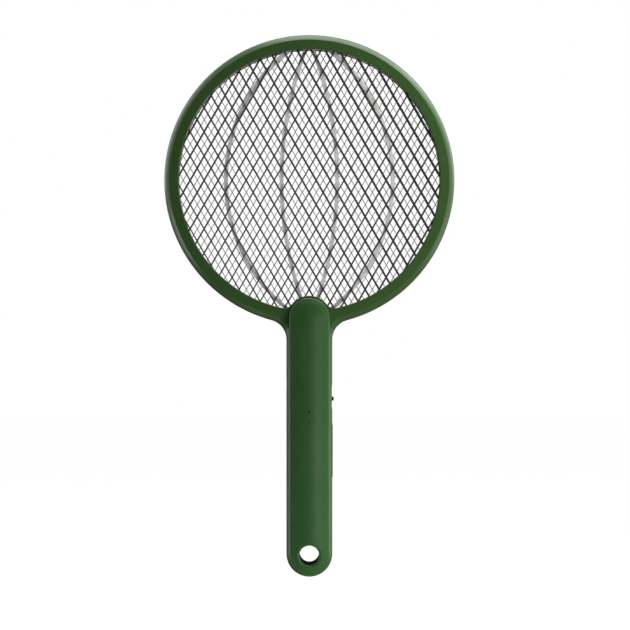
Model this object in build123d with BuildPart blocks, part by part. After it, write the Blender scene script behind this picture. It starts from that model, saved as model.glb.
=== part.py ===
"""Electric bug zapper: a round head with three wire grids on a straight handle.

Millimetres. +Z runs up the handle to the head, the front faces -Y, and the
origin is on the handle's axis at the middle of the grip.
"""
from build123d import *
from math import atan2, ceil, cos, degrees, radians, sin, sqrt, tan
import os

# ---------------------------------------------------------------- driving sizes
overcut = 1.0  # how far a cut runs past what it cuts
same = 0.01  # sizes nearer than this are one size

# Places up the handle, from the middle of the grip
hole_z = -80.0  # hanging hole, and the centre of the handle's round end
cover_top_z = 114.2  # top of the cover's arch
arch_rise = 10.0  # how far the arch stands up into the head's opening

# Head and handle, outside
head_r = 110.0
rim_w = 11.0  # width of the rim's front face
rim_depth = 14.0  # front face to back face
handle_w = 34.8
handle_depth = 28.0  # crown to crown
edge_w, edge_drop = 4.1, 3.0  # slope along the outer edge, across the face and down the side
edge_crease_r, edge_side_r = 0.5, 6.0  # where the slope meets the face and the side
neck_r = 15.0  # outside corner between head and handle
crotch_r = 7.0  # inside corner between opening and cover
opening_round = 0.6  # round on the opening's edge
seam_chamfer = 0.2  # V along the parting line, half on each shell

# Walls
wall = 2.2
pocket_round = 1.0  # inside corner of the walls
face_t = 2.8  # rim's front and back walls
cover_wall = 2.2

# Raised cover on the front, and the same form on the back
cover_w = 30.8
cover_ledge = 1.4  # shell's edge round the cover's arch
crown_r = 36.0  # curve across the crowned top
margin_w, margin_drop = 4.3, 1.8  # slope from the crown to the cover's edge
shoulder_r = 1.8  # round along the cover's edge
rebate = 1.6  # depth of the seat that the cover drops into
seat_gap = 0.15
lip_t = 0.8
lip_h = 1.2

# Hanging hole
hole_r = 7.4
hole_collar_t = 2.2
hole_round = 1.6
collar_joint_y = -2.0  # where the two collars meet

# Grids and the frames between them
wire_w = 1.0
wire_t = 1.2  # where two wires cross, pressed into each other and welded
hv_wire_w = 0.7
hv_wire_t = 0.9
mesh_pitch = 9.2  # square across the wires
mesh_tilt = 60.0  # wires from the level
clamp_w = 2.4  # held under the shell's edge
grid_rim_w = 1.6
spacer_setback = 0.3
rib_w = 2.9
outer_rib_x, outer_rib_end = 63.3, 15.0  # from the middle: at the rib's bulge and at its ends
inner_rib_x, inner_rib_end = 21.1, 3.0
tab_w = 3.5
tab_x = 9.0
tab_end_z = 104.0

# Screws
rim_screw_inset = 6.1  # from the head's edge
neck_screw_angle = 16.0  # the two beside the neck, from straight down
boss_r = 2.3
screw_d = 2.1
thread_gap = 0.02
screw_clearance = 0.3
rim_head_d, rim_head_t = 4.0, 0.95
rim_head_taper = 45.0
rim_screw_l = 9.6
handle_boss_z = (4.0, 88.0)
handle_boss_r = 4.2
bridge_w = 9.0  # bridge across the window that carries a boss
handle_head_d, handle_head_t = 4.8, 1.7
handle_screw_l = 11.6
counterbore_gap = 0.2
counterbore_floor_y = 8.0
cross_l, cross_w = 0.55, 0.14  # of the head's diameter
cross_depth = 0.55  # of the head's thickness

# Push bar on the right side
button_z, button_l, button_w = -1.7, 40.7, 6.0
button_proud = 0.3
button_round = 0.3
button_gap = 0.3
button_travel = 0.8
flange_t = 1.2
flange_gap = 0.3
flange_lip_l, flange_lip_w = 1.85, 0.8  # beyond the bar, at its ends and along its sides
button_spring_offset = 11.0
spring_d, spring_wire = 3.0, 0.4
spring_turns = 5
spring_gap = 0.3  # round the spring in its well
spring_well_depth = 2.5
spring_wall_x, spring_wall_t, spring_wall_l = 11.2, 0.9, 4.0

# Slide switch on the right side
switch_z, switch_recess_l, switch_recess_w, switch_recess_depth = 39.05, 20.1, 5.8, 0.5
switch_travel = 3.0
knob_l, knob_w, knob_proud, knob_round = 2.9, 4.0, 1.1, 0.6
knob_gap = 0.3
knob_lip_l, knob_lip_w = 0.75, 1.0  # plate beyond its slot, at both ends of the travel
lever_w = 1.6
lever_gap = 0.15
fork_t, fork_l, fork_w = 1.2, 1.6, 3.0
lever_in = 2.2  # how far the lever reaches into the housing
housing_l, housing_depth, housing_t = 10.0, 4.1, 3.6

# Circuit board
board_front_y = 1.7
board_t = 1.6
board_side_gap = 2.2
board_low_z, board_high_z = 9.0, 79.0
board_notch_x, board_notch_gap = 9.5, 0.4  # the notch clears the push bar's flange
post_r = 2.2
post_x = 10.5
post_points = ((-post_x, 12.5), (post_x, 25.5), (-post_x, 76.0), (post_x, 76.0))
board_screw_d, board_screw_l = 1.6, 6.0
board_head_d, board_head_t = 3.6, 1.2

# Push switch under the push bar
tact_z, tact_l, tact_depth, tact_t = 15.6, 6.0, 3.5, 3.4
plunger_d = 1.8
plunger_hole, plunger_gap = 2.2, 0.15
nose_w, nose_l = 3.0, 0.9

# Charging socket on the left side
socket_z, socket_l, socket_depth, socket_t = 48.0, 9.0, 7.3, 3.2
socket_wall = 0.35
socket_setback = 0.5
socket_gap = 0.3
socket_back_t = 1.0
tongue_l, tongue_t, tongue_setback = 6.7, 0.8, 0.8

# Indicator
lamp_z = 27.7
pipe_tip_d, pipe_d = 1.6, 3.2
pipe_gap = 0.05
pipe_seat_gap = 0.1  # short of the crown inside
pipe_setback = 0.1  # below the crown's surface
lamp_w, lamp_t, lamp_corner = 3.0, 1.5, 0.5

# Battery cell, a standard 18650
cell_d, cell_l = 18.4, 65.2
cell_foot_gap = 1.8  # from the hanging hole's collar
cell_gap = 0.05
saddle_steps = (10.0, 33.0, 56.0)  # from the cell's lower end
saddle_t = 1.6
saddle_lip = 1.0  # beyond the cell on each side
tab_t = 0.3
cell_nub_d, cell_nub_h, cell_round = 5.6, 0.8, 0.6
tab_strip_w = 3.0
pad_half_w, pad_l, pad_crown_gap = 4.5, 50.0, 0.35

# Leads
lead_d = 1.4
lead_slack = 0.45  # share of the shorter run that a bend may take
red_lead_x = -5.4
black_lead_x, black_lead_y = -11.3, 6.3

# Parts on the board
transformer_z = 62.5
core_w, core_l, core_t = 16.0, 14.0, 5.0
core_leg_w, core_window_w, core_window_l = 4.0, 4.0, 9.2
core_gap = 0.1
coil_w, coil_l, coil_h, coil_corner = 11.6, 8.8, 10.0, 1.0
capacitor_x, capacitor_z = -3.0, (35.5, 43.0)
capacitor_w, capacitor_l, capacitor_h = 10.5, 5.0, 9.0
capacitor_corner, capacitor_round = 0.8, 0.6
transistor_x, transistor_z, transistor_d, transistor_flat = 9.2, 51.5, 4.6, 1.15
diode_d, diode_l, diode_wire_d, diode_span = 2.7, 5.2, 0.8, 8.6
diode_points = ((-4.0, 51.2), (0.0, 51.2), (4.0, 51.2))
resistor_d, resistor_l, resistor_wire_d, resistor_span = 2.3, 6.2, 0.6, 8.6
resistor_points = ((-0.6, 72.4), (-0.6, 75.6))
chip_x, chip_z = 0.5, 20.0
chip_w, chip_l, chip_t, chip_standoff = 3.9, 4.9, 1.4, 0.1
chip_leg_l, chip_leg_w, chip_leg_t, chip_leg_pitch, chip_chamfer = 1.0, 0.4, 0.2, 1.27, 0.3

# ---------------------------------------------------------------- worked out
half_depth = rim_depth / 2
crown_y = handle_depth / 2
crown_inner_y = crown_y - cover_wall
inner_y = half_depth - face_t  # inside of the rim's walls
opening_r = head_r - rim_w
head_z = cover_top_z - arch_rise + opening_r  # centre of the round head
rim_screw_r = head_r - rim_screw_inset
mesh_rows = 2 * ceil((opening_r + clamp_w) / mesh_pitch)  # even: an opening of the mesh is at the centre
cover_half = cover_w / 2
crown_half = cover_half - margin_w
margin_y = crown_y - crown_r + sqrt(crown_r**2 - crown_half**2)
arch_z = cover_top_z - cover_half  # centre of the cover's arch
window_half = cover_half - cover_wall + lip_t + seat_gap
side_x = handle_w / 2
side_inner_x = side_x - wall
spacer_t = inner_y - wire_t - hv_wire_t / 2  # fills what the grids leave
front_grid_y = -(hv_wire_t / 2 + spacer_t + wire_t / 2)
rear_grid_y = -front_grid_y
board_back_y = board_front_y + board_t
flange_x = side_inner_x - flange_gap  # outer face of the flange at rest
flange_in_x = flange_x - flange_t
flange_l, flange_w = button_l + 2 * flange_lip_l, button_w + 2 * flange_lip_w
plunger_x = flange_in_x - nose_l  # where it meets the push bar's nose
board_half_w = side_inner_x - board_side_gap
board_notch_z = button_z + flange_l / 2 + board_notch_gap
knob_z = switch_z - switch_travel / 2  # off
socket_x = -side_x + socket_setback  # its mouth
socket_y = board_front_y - socket_t / 2
knob_slot_l = knob_l + switch_travel + 2 * knob_gap
knob_plate_l, knob_plate_w = knob_slot_l + switch_travel + 2 * knob_lip_l, knob_w + 2 * knob_lip_w
housing_x = flange_in_x - fork_l - knob_gap  # the slide switch's open face
cell_z = hole_z + hole_r + hole_collar_t + cell_foot_gap  # its lower end
saddle_half_w = cell_d / 2 + saddle_lip
button_spring_z = (button_z - button_spring_offset, button_z + button_spring_offset)
spring_in_x = flange_in_x + spring_well_depth

rim_screw_points = [
    (rim_screw_r * cos(radians(a)), head_z + rim_screw_r * sin(radians(a)))
    for a in (-45, 0, 45, 90, 135, 180, 225, -90 - neck_screw_angle, -90 + neck_screw_angle)
]
handle_screw_points = [(0, z) for z in handle_boss_z]


def in_crown(x):
    """The middle of the crowned wall, x from the middle of the handle."""
    return crown_y - crown_r + sqrt(crown_r**2 - min(x, crown_half) ** 2) - cover_wall / 2


post_foot_y = in_crown(post_x)
spring_wall_foot_y = in_crown(spring_wall_x)


def at(y):
    """The plane square to the handle's depth, at y, facing the front."""
    return Plane.XZ.offset(-y)


def from_side(x):
    """The plane along the handle's side, at x, facing right, with Y across and Z up."""
    return Plane.YZ.offset(x)


# ---------------------------------------------------------------- shared outlines
def bar(half_w, low, high):
    """A round-ended bar up the handle, between the centres of its two ends."""
    with BuildSketch() as shape:
        with Locations((0, (low + high) / 2)):
            SlotCenterToCenter(high - low, 2 * half_w, rotation=90)
    return shape.sketch


def outline(inset=0.0):
    """The racket's outline: the head, the handle and a round between them."""
    with BuildSketch() as shape:
        with Locations((0, head_z)):
            Circle(head_r)
        add(bar(side_x, hole_z, head_z))
        meets = [v for v in shape.vertices() if v.Y > head_z - head_r and abs(abs(v.X) - side_x) < same]
        fillet(meets, neck_r)
        if inset:
            offset(amount=-inset)
    return shape.sketch


def opening(grow=0.0):
    """The head's opening, which rises over the cover's arch with a round at each side."""
    head, arch = Vector(0, head_z), Vector(0, arch_z)
    outer, inner, corner = opening_r + grow, cover_half + cover_ledge - grow, crotch_r + grow
    gap = head_z - arch_z
    rise = (gap**2 + (inner + corner) ** 2 - (outer - corner) ** 2) / (2 * gap)
    right = Vector(sqrt((inner + corner) ** 2 - rise**2), arch_z + rise)  # centre of the round
    left = Vector(-right.X, right.Y)
    with BuildSketch() as shape:
        with BuildLine():
            low_r = head + (right - head).normalized() * outer
            low_l = head + (left - head).normalized() * outer
            top_r = arch + (right - arch).normalized() * inner
            top_l = arch + (left - arch).normalized() * inner
            for centre, low, top in ((right, low_r, top_r), (left, low_l, top_l)):
                middle = centre + ((low + top) / 2 - centre).normalized() * corner
                ThreePointArc(low, middle, top)
            ThreePointArc(low_r, head + Vector(0, outer), low_l)
            ThreePointArc(top_r, arch + Vector(0, inner), top_l)
        make_face()
    return shape.sketch


def crowned_bar(inset=0.0):
    """The raised form along the handle: a crown with domed ends, and a steeper margin round it."""
    foot_y, flat_y = half_depth - rebate, margin_y - inset
    crown_centre_y = crown_r - crown_y
    with BuildPart() as crown:
        with BuildSketch(at(crown_centre_y)):
            add(bar(crown_r - inset, hole_z, arch_z))
            split(bisect_by=Plane.YZ)
        revolve(axis=Axis((0, crown_centre_y, 0), (0, 0, 1)))
        split(bisect_by=at(-flat_y))
    with BuildPart() as form:
        with BuildSketch(at(-foot_y)):
            add(bar(cover_half - inset, hole_z, arch_z))
        extrude(amount=flat_y - foot_y)
        top = form.faces().sort_by(Axis.Y)[0]
        chamfer(top.edges(), margin_w, margin_drop, reference=top)
        if not inset:
            low_y = margin_drop - flat_y
            fillet(form.edges().filter_by_position(Axis.Y, low_y - same, low_y + same), shoulder_r)
        add(crown.part)
    return form.part


def half_shell():
    """Half of the rim, neck and handle, from the parting plane to the front face."""
    with BuildPart() as half:
        with BuildSketch(at(0)):
            add(racket_outline)
            add(head_opening, mode=Mode.SUBTRACT)
        extrude(amount=half_depth)
        face = half.faces().sort_by(Axis.Y)[0]
        chamfer(face.outer_wire().edges(), edge_w, edge_drop, reference=face)
        fillet(half.faces().sort_by(Axis.Y)[0].outer_wire().edges(), edge_crease_r)
        low_y = edge_drop - half_depth
        fillet(half.edges().filter_by_position(Axis.Y, low_y - same, low_y + same), edge_side_r)
        inner = half.faces().sort_by(Axis.Y)[0].inner_wires()[0]
        fillet(inner.edges(), opening_round)
        chamfer(half.faces().sort_by(Axis.Y)[-1].outer_wire().edges(), seam_chamfer)
        with BuildPart(mode=Mode.SUBTRACT) as pocket:
            with BuildSketch(at(0)):
                add(outline(wall))
            extrude(amount=inner_y)
            fillet(pocket.faces().sort_by(Axis.Y)[0].edges(), pocket_round)
    return half.part


def side_openings():
    """What is cut through the handle's sides, for the push bar, the switch and the socket."""
    with BuildPart() as cuts:
        with BuildSketch(from_side(side_inner_x - overcut)):
            with Locations((0, button_z)):
                SlotOverall(button_l + 2 * button_gap, button_w + 2 * button_gap, rotation=90)
            with Locations((0, switch_z)):
                Rectangle(knob_w + 2 * knob_gap, knob_slot_l)
        extrude(amount=wall + 2 * overcut)
        with BuildSketch(from_side(side_x - switch_recess_depth)):
            with Locations((0, switch_z)):
                SlotOverall(switch_recess_l, switch_recess_w, rotation=90)
        extrude(amount=switch_recess_depth + overcut)
        with BuildSketch(from_side(-side_x - overcut)):
            with Locations((socket_y, socket_z)):
                SlotOverall(socket_l + 2 * socket_gap, socket_t + 2 * socket_gap, rotation=90)
        extrude(amount=wall + 2 * overcut)
    return cuts.part


racket_outline = outline()
head_opening = opening()
clamped = opening(clamp_w)
cover_form = crowned_bar()
cover_hollow = crowned_bar(cover_wall)
half = half_shell()
cuts = side_openings()

os.makedirs("parts", exist_ok=True)


def save(name, part):
    """Name a finished piece and write its file."""
    part.label = name
    export_step(part, f"parts/{name}.step")


def hole_edges(part, radius):
    """Edges of the round walls of one radius, out at the crown."""
    walls = part.faces().filter_by(GeomType.CYLINDER)
    edges = walls.filter_by(lambda face: abs(face.radius - radius) < same).edges()
    return edges.filter_by(lambda edge: abs(edge.center().Y) > crown_inner_y)


# ---------------------------------------------------------------- casing
with BuildPart() as front_shell:
    add(half)
    # window under the cover, with a bridge for each handle screw
    with BuildSketch(at(-inner_y)):
        add(bar(window_half, hole_z, arch_z))
        with Locations(*handle_screw_points):
            Rectangle(2 * window_half, bridge_w, mode=Mode.SUBTRACT)
    extrude(amount=face_t, mode=Mode.SUBTRACT)
    # seat for the cover
    with BuildSketch(at(-half_depth + rebate)):
        add(bar(cover_half + seat_gap, hole_z, arch_z))
    extrude(amount=rebate + overcut, mode=Mode.SUBTRACT)
    # screw bosses
    with BuildSketch(at(0)):
        with Locations(*rim_screw_points):
            Circle(boss_r)
        with Locations(*handle_screw_points):
            Circle(handle_boss_r)
    extrude(amount=inner_y)
    with BuildSketch(at(0)):
        with Locations(*rim_screw_points, *handle_screw_points):
            Circle(screw_d / 2 + thread_gap)
    extrude(amount=inner_y, mode=Mode.SUBTRACT)
    add(cuts, mode=Mode.SUBTRACT)
save("front_shell", front_shell.part)

with BuildPart() as rear_shell:
    add(mirror(half, about=Plane.XZ))
    add(mirror(cover_form, about=Plane.XZ))
    add(mirror(cover_hollow, about=Plane.XZ), mode=Mode.SUBTRACT)
    with BuildSketch(at(half_depth)):
        add(bar(cover_half - cover_wall, hole_z, arch_z))
    extrude(amount=face_t, mode=Mode.SUBTRACT)
    # screw bosses
    with BuildSketch(at(inner_y)):
        with Locations(*rim_screw_points):
            Circle(boss_r)
    extrude(amount=inner_y)
    with BuildSketch(at(crown_inner_y + cover_wall / 2)):
        with Locations(*handle_screw_points):
            Circle(handle_boss_r)
    extrude(amount=crown_inner_y + cover_wall / 2)
    # collar of the hanging hole
    with BuildSketch(at(crown_inner_y)):
        with Locations((0, hole_z)):
            Circle(hole_r + hole_collar_t)
    extrude(amount=crown_inner_y - collar_joint_y)
    # posts for the board
    with BuildSketch(at(post_foot_y)):
        with Locations(*post_points):
            Circle(post_r)
    extrude(amount=post_foot_y - board_back_y)
    # saddles for the cell
    for step in saddle_steps:
        with BuildSketch(Plane.XY.offset(cell_z + step - saddle_t / 2)):
            with Locations((0, crown_inner_y)):
                Rectangle(2 * saddle_half_w, cell_d / 2, align=(Align.CENTER, Align.MAX))
            Circle(cell_d / 2 + cell_gap, mode=Mode.SUBTRACT)
        extrude(amount=saddle_t)
    # walls that the push bar's springs stand on
    with BuildSketch(from_side(spring_wall_x - spring_wall_t)):
        with Locations(*[(spring_wall_foot_y, z) for z in button_spring_z]):
            Rectangle(spring_wall_foot_y + spring_d, spring_wall_l, align=(Align.MAX, Align.CENTER))
    extrude(amount=spring_wall_t)
    # holes for the screws
    with BuildSketch(at(half_depth)):
        with Locations(*rim_screw_points):
            Circle(screw_d / 2 + screw_clearance)
    extrude(amount=half_depth, mode=Mode.SUBTRACT)
    with BuildSketch(at(half_depth)):
        with Locations(*rim_screw_points):
            Circle(rim_head_d / 2 + thread_gap)
    extrude(amount=rim_head_t, taper=rim_head_taper, mode=Mode.SUBTRACT)
    with BuildSketch(at(counterbore_floor_y)):
        with Locations(*handle_screw_points):
            Circle(screw_d / 2 + screw_clearance)
    extrude(amount=counterbore_floor_y, mode=Mode.SUBTRACT)
    with BuildSketch(at(crown_y)):
        with Locations(*handle_screw_points):
            Circle(handle_head_d / 2 + counterbore_gap)
    extrude(amount=crown_y - counterbore_floor_y, mode=Mode.SUBTRACT)
    with BuildSketch(at(board_back_y)):
        with Locations(*post_points):
            Circle(board_screw_d / 2 + thread_gap)
    extrude(amount=-board_screw_l, mode=Mode.SUBTRACT)
    # hanging hole
    with BuildSketch(at(crown_y)):
        with Locations((0, hole_z)):
            Circle(hole_r)
    extrude(amount=handle_depth, mode=Mode.SUBTRACT)
    fillet(hole_edges(rear_shell, hole_r), hole_round)
    add(cuts, mode=Mode.SUBTRACT)
save("rear_shell", rear_shell.part)

with BuildPart() as handle_cover:
    add(cover_form)
    add(cover_hollow, mode=Mode.SUBTRACT)
    # lip that drops into the shell's window, open where the bridges cross it
    with BuildSketch(at(-half_depth + rebate)):
        add(bar(cover_half - cover_wall + lip_t, hole_z, arch_z))
        add(bar(cover_half - cover_wall, hole_z, arch_z), mode=Mode.SUBTRACT)
        with Locations(*handle_screw_points):
            Rectangle(2 * window_half, bridge_w + 2 * seat_gap, mode=Mode.SUBTRACT)
    extrude(amount=-lip_h)
    with BuildSketch(at(collar_joint_y)):
        with Locations((0, hole_z)):
            Circle(hole_r + hole_collar_t)
    extrude(amount=crown_inner_y + collar_joint_y)
    with BuildSketch(at(collar_joint_y)):
        with Locations((0, hole_z)):
            Circle(hole_r)
        with Locations((0, lamp_z)):
            Circle(pipe_tip_d / 2 + pipe_gap)
    extrude(amount=crown_y, mode=Mode.SUBTRACT)
    fillet(hole_edges(handle_cover, hole_r), hole_round)
save("handle_cover", handle_cover.part)


# ---------------------------------------------------------------- grids
def rim_band(outer_grow, inner_grow):
    """A flat band that follows the opening's edge."""
    with BuildSketch() as band:
        add(opening(outer_grow))
        add(opening(inner_grow), mode=Mode.SUBTRACT)
    return band.sketch


def grid(middle_y, wire, thickness, rows, tab_at):
    """A welded wire grid in its rim, with a tab that hangs into the handle for its lead."""
    with BuildSketch() as tab:
        with Locations((tab_at, tab_end_z)):
            Rectangle(tab_w, cover_top_z - tab_end_z, align=(Align.CENTER, Align.MIN))
        add(opening(clamp_w - grid_rim_w), mode=Mode.SUBTRACT)
    with BuildPart() as mesh:
        with BuildSketch(at(middle_y + thickness / 2)):
            for tilt in (mesh_tilt, -mesh_tilt):
                with Locations(Location((0, head_z, 0), (0, 0, tilt))):
                    with GridLocations(1, mesh_pitch, 1, rows):
                        Rectangle(2 * head_r, wire)
            add(clamped, mode=Mode.INTERSECT)
            add(rim_band(clamp_w, clamp_w - grid_rim_w))
            add(tab.sketch)
        extrude(amount=thickness)
    return mesh.part


save("front_grid", grid(front_grid_y, wire_w, wire_t, mesh_rows, -tab_x))
save("mid_grid", grid(0, hv_wire_w, hv_wire_t, mesh_rows + 1, 0))
save("rear_grid", grid(rear_grid_y, wire_w, wire_t, mesh_rows, tab_x))


def rib(x, end, side):
    """One rib: a stretch of a large ring, at x where it bulges and at end where it meets the rim."""
    r = (opening_r**2 + (x - end) ** 2) / (2 * (x - end))
    with BuildSketch() as arc:
        with Locations((side * (x - r), head_z)):
            Circle(r + rib_w / 2)
            Circle(r - rib_w / 2, mode=Mode.SUBTRACT)
        add(clamped, mode=Mode.INTERSECT)
    return arc.sketch


def spacer(front_y):
    """A frame that keeps two grids apart: a ring with four ribs curved like meridians."""
    with BuildPart() as frame:
        with BuildSketch(at(front_y + spacer_t)):
            for side in (-1, 1):
                add(rib(outer_rib_x, outer_rib_end, side))
                add(rib(inner_rib_x, inner_rib_end, side))
            add(rim_band(clamp_w, spacer_setback))
        extrude(amount=spacer_t)
    return frame.part


save("front_spacer", spacer(-hv_wire_t / 2 - spacer_t))
save("rear_spacer", spacer(hv_wire_t / 2))


# ---------------------------------------------------------------- screws
def screws(head_y, head_d, head_t, shank_d, length, points, facing, taper=0.0):
    """Screws with a cross in the head, driven towards -Y (facing 1) or +Y (facing -1)."""
    with BuildPart() as group:
        with BuildSketch(at(head_y)):
            with Locations(*points):
                Circle(head_d / 2)
        extrude(amount=facing * head_t, taper=taper)
        with BuildSketch(at(head_y)):
            with Locations(*points):
                Circle(shank_d / 2)
        extrude(amount=facing * length)
        with BuildSketch(at(head_y)):
            with Locations(*points):
                Rectangle(cross_l * head_d, cross_w * head_d)
                Rectangle(cross_w * head_d, cross_l * head_d)
        extrude(amount=facing * cross_depth * head_t, mode=Mode.SUBTRACT)
    return group.part


save(
    "rim_screws",
    screws(half_depth, rim_head_d, rim_head_t, screw_d, rim_screw_l, rim_screw_points, 1, rim_head_taper),
)
save(
    "handle_screws",
    screws(
        counterbore_floor_y + handle_head_t,
        handle_head_d,
        handle_head_t,
        screw_d,
        handle_screw_l + handle_head_t,
        handle_screw_points,
        1,
    ),
)
save(
    "board_screws",
    screws(
        board_front_y - board_head_t,
        board_head_d,
        board_head_t,
        board_screw_d,
        board_screw_l + board_head_t,
        post_points,
        -1,
    ),
)

# ---------------------------------------------------------------- push bar
with BuildPart() as press_button:
    with BuildSketch(from_side(flange_in_x)):
        with Locations((0, button_z)):
            Rectangle(flange_w, flange_l)
    extrude(amount=flange_t)
    with BuildSketch(from_side(flange_x)):
        with Locations((0, button_z)):
            SlotOverall(button_l, button_w, rotation=90)
    extrude(amount=side_x + button_proud - flange_x)
    fillet(press_button.faces().sort_by(Axis.X)[-1].edges(), button_round)
    # wells for the springs
    with BuildSketch(from_side(flange_in_x)):
        with Locations(*[(0, z) for z in button_spring_z]):
            Circle(spring_d / 2 + spring_gap)
    extrude(amount=spring_well_depth, mode=Mode.SUBTRACT)
    # nose that pushes the switch
    with BuildSketch(from_side(plunger_x)):
        with Locations((0, tact_z)):
            Rectangle(nose_w, nose_w)
    extrude(amount=flange_in_x - plunger_x)
save("press_button", press_button.part)

with BuildPart() as button_springs:
    rise = spring_in_x - spring_wall_x - spring_wire
    for z in button_spring_z:
        with BuildLine():
            coil = Helix(
                pitch=rise / spring_turns,
                height=rise,
                radius=(spring_d - spring_wire) / 2,
                center=(spring_wall_x + spring_wire / 2, 0, z),
                direction=(1, 0, 0),
            )
        with BuildSketch(Plane(origin=coil @ 0, z_dir=coil % 0)):
            Circle(spring_wire / 2)
        sweep(path=coil, is_frenet=True)
save("button_springs", button_springs.part)

with BuildPart() as tact_switch:
    with BuildSketch(from_side(board_notch_x - tact_depth)):
        with Locations((board_front_y, tact_z)):
            Rectangle(tact_t, tact_l, align=(Align.MAX, Align.CENTER))
    extrude(amount=tact_depth)
    with BuildSketch(from_side(board_notch_x - plunger_hole)):
        with Locations((0, tact_z)):
            Circle(plunger_d / 2 + plunger_gap)
    extrude(amount=plunger_hole, mode=Mode.SUBTRACT)
save("tact_switch", tact_switch.part)

with BuildPart() as tact_plunger:
    with BuildSketch(from_side(board_notch_x - plunger_hole + button_travel + plunger_gap)):
        with Locations((0, tact_z)):
            Circle(plunger_d / 2)
    extrude(amount=plunger_x - board_notch_x + plunger_hole - button_travel - plunger_gap)
save("tact_plunger", tact_plunger.part)

# ---------------------------------------------------------------- slide switch
with BuildPart() as switch_knob:
    with BuildSketch(from_side(flange_in_x)):
        with Locations((0, knob_z)):
            Rectangle(knob_plate_w, knob_plate_l)
    extrude(amount=flange_t)
    with BuildSketch(from_side(flange_x)):
        with Locations((0, knob_z)):
            Rectangle(knob_w, knob_l)
    extrude(amount=side_x + knob_proud - flange_x)
    fillet(switch_knob.faces().sort_by(Axis.X)[-1].edges(), knob_round)
    # fork that takes the switch's lever
    fork_step = lever_w + 2 * lever_gap + fork_t
    with BuildSketch(from_side(flange_in_x - fork_l)):
        with Locations((0, knob_z)):
            with GridLocations(1, fork_step, 1, 2):
                Rectangle(fork_w, fork_t)
    extrude(amount=fork_l)
save("switch_knob", switch_knob.part)

with BuildPart() as switch_lever:
    with BuildSketch(from_side(housing_x - lever_in)):
        with Locations((0, knob_z)):
            Rectangle(lever_w, lever_w)
    extrude(amount=flange_in_x - knob_gap - housing_x + lever_in)
save("switch_lever", switch_lever.part)

with BuildPart() as slide_switch:
    with BuildSketch(from_side(housing_x - housing_depth)):
        with Locations((board_front_y, switch_z)):
            Rectangle(housing_t, housing_l, align=(Align.MAX, Align.CENTER))
    extrude(amount=housing_depth)
    with BuildSketch(from_side(housing_x - lever_in - lever_gap)):
        with Locations((0, switch_z)):
            Rectangle(lever_w + 2 * lever_gap, lever_w + switch_travel + 2 * lever_gap)
    extrude(amount=lever_in + lever_gap, mode=Mode.SUBTRACT)
save("slide_switch", slide_switch.part)

# ---------------------------------------------------------------- charging socket
with BuildPart() as charging_socket:
    with BuildSketch(from_side(socket_x)):
        with Locations((socket_y, socket_z)):
            SlotOverall(socket_l, socket_t, rotation=90)
    extrude(amount=socket_depth)
    with BuildSketch(from_side(socket_x)):
        with Locations((socket_y, socket_z)):
            SlotOverall(socket_l - 2 * socket_wall, socket_t - 2 * socket_wall, rotation=90)
    extrude(amount=socket_depth - socket_back_t, mode=Mode.SUBTRACT)
save("charging_socket", charging_socket.part)

with BuildPart() as socket_tongue:
    with BuildSketch(from_side(socket_x + tongue_setback)):
        with Locations((socket_y, socket_z)):
            Rectangle(tongue_t, tongue_l)
    extrude(amount=socket_depth - socket_back_t - tongue_setback)
save("socket_tongue", socket_tongue.part)

# ---------------------------------------------------------------- indicator
with BuildPart() as indicator_led:
    with BuildSketch(at(board_front_y)):
        with Locations((0, lamp_z)):
            RectangleRounded(lamp_w, lamp_w, lamp_corner)
    extrude(amount=lamp_t)
save("indicator_led", indicator_led.part)

with BuildPart() as light_pipe:
    with BuildSketch(at(board_front_y - lamp_t)):
        with Locations((0, lamp_z)):
            Circle(pipe_d / 2)
    extrude(amount=crown_inner_y - pipe_seat_gap + board_front_y - lamp_t)
    with BuildSketch(at(board_front_y - lamp_t)):
        with Locations((0, lamp_z)):
            Circle(pipe_tip_d / 2)
    extrude(amount=crown_y - pipe_setback + board_front_y - lamp_t)
save("light_pipe", light_pipe.part)

# ---------------------------------------------------------------- circuit board and its parts
with BuildPart() as circuit_board:
    with BuildSketch(at(board_back_y)):
        with Locations((0, board_low_z)):
            Rectangle(2 * board_half_w, board_high_z - board_low_z, align=(Align.CENTER, Align.MIN))
        with Locations((board_half_w, board_low_z)):
            Rectangle(
                board_half_w - board_notch_x,
                board_notch_z - board_low_z,
                align=(Align.MAX, Align.MIN),
                mode=Mode.SUBTRACT,
            )
        with Locations(*post_points):
            Circle(board_screw_d / 2 + screw_clearance, mode=Mode.SUBTRACT)
    extrude(amount=board_t)
save("circuit_board", circuit_board.part)


def on_board(x, z):
    """A plane on the board's front face, centred at x and z."""
    return at(board_front_y).shift_origin((x, board_front_y, z))


with BuildPart() as transformer_core:
    with BuildSketch(on_board(0, transformer_z).offset((coil_h - core_t) / 2)):
        Rectangle(core_w, core_l)
        with GridLocations(core_leg_w + core_window_w, 1, 2, 1):
            Rectangle(core_window_w, core_window_l, mode=Mode.SUBTRACT)
    extrude(amount=core_t)
save("transformer_core", transformer_core.part)

with BuildPart() as transformer_winding:
    with BuildSketch(on_board(0, transformer_z)):
        RectangleRounded(coil_w, coil_l, coil_corner)
    extrude(amount=coil_h)
    with BuildSketch(Plane.XY.offset(transformer_z - coil_l)):
        with Locations((0, board_front_y - coil_h / 2)):
            Rectangle(core_leg_w + 2 * core_gap, core_t + 2 * core_gap)
    extrude(amount=2 * coil_l, mode=Mode.SUBTRACT)
save("transformer_winding", transformer_winding.part)

with BuildPart() as capacitors:
    for z in capacitor_z:
        with BuildSketch(on_board(capacitor_x, z)):
            RectangleRounded(capacitor_w, capacitor_l, capacitor_corner)
        extrude(amount=capacitor_h)
    fillet(capacitors.faces().group_by(Axis.Y)[0].edges(), capacitor_round)
save("capacitors", capacitors.part)

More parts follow.
